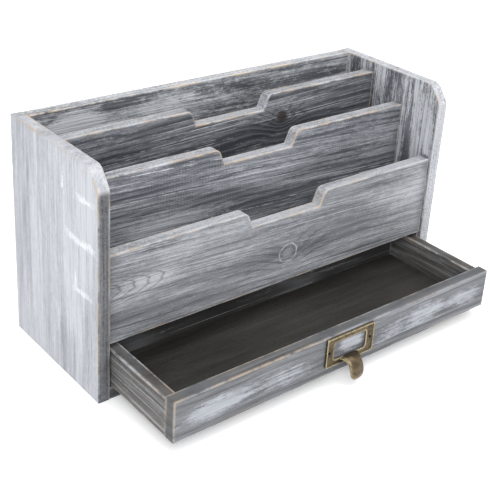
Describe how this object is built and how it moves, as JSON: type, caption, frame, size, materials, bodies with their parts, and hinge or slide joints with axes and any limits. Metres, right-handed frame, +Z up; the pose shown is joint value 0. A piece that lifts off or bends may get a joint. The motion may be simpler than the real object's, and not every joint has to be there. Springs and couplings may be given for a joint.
{
  "type": "desk organizer",
  "caption": "Rustic whitewashed wooden desk organizer with stepped letter slots above one shallow drawer that has an antique brass label-frame pull.",
  "frame": {"origin": "centre of the case's footprint, on the base panel's underside", "axes": "+Z up, -Y out of the front, where the drawer opens, +X along the width"},
  "size_m": [0.33, 0.2056, 0.175],
  "materials": {
    "side_wood": "matt, heavily whitewashed grey wood",
    "slot_wood": "matt, grey wood with worn white streaks",
    "case_wood": "matt, dark grey wood with white patches",
    "drawer_front_wood": "matt, grey wood with white patches",
    "drawer_wood": "matt, grey-brown wood",
    "dark_ply": "matt, dark stained thin plywood",
    "aged_brass": "antique brass, dark in the hollows and bright on the worn rims",
    "steel": "dark steel brads and pins"
  },
  "bodies": {
    "case": {"side_panel_left": "side_wood", "side_panel_right": "side_wood", "back_panel": "case_wood", "base_panel": "case_wood", "slot_floor": "case_wood", "front_panel": "slot_wood", "middle_divider": "slot_wood", "rear_divider": "slot_wood", "brad_base_panel_left_1": "steel", "brad_base_panel_left_2": "steel", "brad_slot_floor_left_1": "steel", "brad_slot_floor_left_2": "steel", "brad_front_panel_left_1": "steel", "brad_front_panel_left_2": "steel", "brad_middle_divider_left_1": "steel", "brad_middle_divider_left_2": "steel", "brad_rear_divider_left_1": "steel", "brad_rear_divider_left_2": "steel", "brad_back_panel_left_1": "steel", "brad_back_panel_left_2": "steel", "brad_base_panel_right_1": "steel", "brad_base_panel_right_2": "steel", "brad_slot_floor_right_1": "steel", "brad_slot_floor_right_2": "steel", "brad_front_panel_right_1": "steel", "brad_front_panel_right_2": "steel", "brad_middle_divider_right_1": "steel", "brad_middle_divider_right_2": "steel", "brad_rear_divider_right_1": "steel", "brad_rear_divider_right_2": "steel", "brad_back_panel_right_1": "steel", "brad_back_panel_right_2": "steel"},
    "drawer": {"drawer_front": "drawer_front_wood", "drawer_side_left": "drawer_wood", "drawer_side_right": "drawer_wood", "drawer_back": "drawer_wood", "drawer_bottom": "dark_ply", "label_pull": "aged_brass", "label_pin_left": "steel", "label_pin_right": "steel", "brad_drawer_left_1": "steel", "brad_drawer_left_2": "steel", "brad_drawer_right_1": "steel", "brad_drawer_right_2": "steel"}
  },
  "joints": [
    {"name": "drawer_slide", "type": "slide", "parent": "case", "child": "drawer", "axis": [0, -1, 0], "range_m": [-0.0765, 0.015]}
  ]
}
